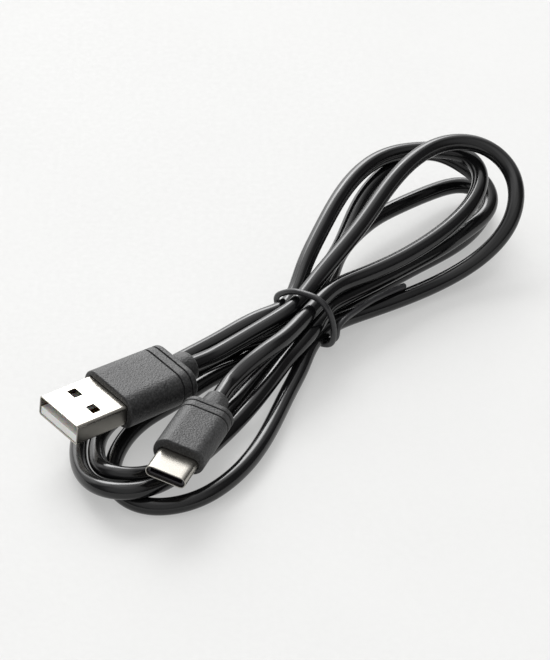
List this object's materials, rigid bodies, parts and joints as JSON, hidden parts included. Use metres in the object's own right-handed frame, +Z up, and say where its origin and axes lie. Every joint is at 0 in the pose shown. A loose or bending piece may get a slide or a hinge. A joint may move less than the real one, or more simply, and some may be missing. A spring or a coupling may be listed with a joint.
{
  "type": "charging cable",
  "caption": "Black USB-A to USB-C charging cable, folded into a flat bow-tie hank with a wire twist tie round its waist and both plugs lying at one end.",
  "frame": {"origin": "bottom centre of the whole object's box, on the surface that the hank lies on", "axes": "+Z up from the surface; +Y along the hank's longer side, from the plugs' end towards the big loops; +X to the right seen from the plugs' end"},
  "size_m": [0.0962, 0.1068, 0.0221],
  "materials": {
    "jacket": "glossy black PVC jacket",
    "tie": "thin black coating over soft wire",
    "overmould": "fine-grained matte charcoal TPE",
    "steel": "nickel-plated steel, smooth",
    "spring_steel": "bright spring steel",
    "contact_gold": "gold plate",
    "insulator_light": "translucent light grey plastic",
    "insulator_dark": "near-black plastic",
    "premould": "natural polyethylene",
    "board": "green solder mask",
    "chip": "black resistor body",
    "wire_red": "red insulation",
    "wire_black": "black insulation",
    "wire_green": "green insulation",
    "wire_white": "white insulation"
  },
  "bodies": {
    "hank": {"cord_jacket": "jacket", "twist_tie": "tie"},
    "usb_a_plug": {"usb_a_shell": "steel", "usb_a_tongue_insulator": "insulator_light", "usb_a_rear_block": "insulator_light", "usb_a_contact_gnd": "contact_gold", "usb_a_contact_d_plus": "contact_gold", "usb_a_contact_d_minus": "contact_gold", "usb_a_contact_vbus": "contact_gold", "usb_a_wire_black": "wire_black", "usb_a_wire_green": "wire_green", "usb_a_wire_white": "wire_white", "usb_a_wire_red": "wire_red", "usb_a_inner_mould": "premould", "usb_a_jacket_end": "jacket", "usb_a_crimp_collar": "steel", "usb_a_overmould": "overmould"},
    "usb_c_plug": {"usb_c_shell": "steel", "usb_c_housing": "insulator_dark", "usb_c_contact_a1_gnd": "contact_gold", "usb_c_contact_a4_vbus": "contact_gold", "usb_c_contact_a5_cc": "contact_gold", "usb_c_contact_a6_d_plus": "contact_gold", "usb_c_contact_a7_d_minus": "contact_gold", "usb_c_contact_a9_vbus": "contact_gold", "usb_c_contact_a12_gnd": "contact_gold", "usb_c_contact_b12_gnd": "contact_gold", "usb_c_contact_b9_vbus": "contact_gold", "usb_c_contact_b4_vbus": "contact_gold", "usb_c_contact_b1_gnd": "contact_gold", "usb_c_ground_spring_upper": "spring_steel", "usb_c_ground_spring_lower": "spring_steel", "usb_c_paddle_card": "board", "usb_c_pull_up_resistor": "chip", "usb_c_shield_can": "steel", "usb_c_wire_red": "wire_red", "usb_c_wire_black": "wire_black", "usb_c_wire_green": "wire_green", "usb_c_wire_white": "wire_white", "usb_c_inner_mould": "premould", "usb_c_jacket_end": "jacket", "usb_c_crimp_collar": "steel", "usb_c_overmould": "overmould"},
    "usb_c_latch_l": {"usb_c_latch_left": "spring_steel"},
    "usb_c_latch_r": {"usb_c_latch_right": "spring_steel"}
  },
  "joints": [
    {"name": "usb_a_relief_bend", "type": "hinge", "parent": "hank", "child": "usb_a_plug", "pos_m": [-0.01915, -0.01521, 0.00771], "axis": [-0.6321, 0.7736, 0.044], "range_deg": [0, 15], "stiffness_Nm_per_rad": 0.05},
    {"name": "usb_c_relief_bend", "type": "hinge", "parent": "hank", "child": "usb_c_plug", "pos_m": [-0.01382, -0.02575, 0.00741], "axis": [-0.9165, 0.3497, 0.1945], "range_deg": [0, 15], "stiffness_Nm_per_rad": 0.05},
    {"name": "usb_c_latch_left_flex", "type": "hinge", "parent": "usb_c_plug", "child": "usb_c_latch_l", "pos_m": [-0.0166, -0.04333, 0.00785], "axis": [0.2096, 0.0056, 0.9778], "range_deg": [0, 1.3], "stiffness_Nm_per_rad": 0.02},
    {"name": "usb_c_latch_right_flex", "type": "hinge", "parent": "usb_c_plug", "child": "usb_c_latch_r", "pos_m": [-0.02303, -0.04088, 0.00921], "axis": [-0.2096, -0.0056, -0.9778], "range_deg": [0, 1.3], "stiffness_Nm_per_rad": 0.02}
  ]
}
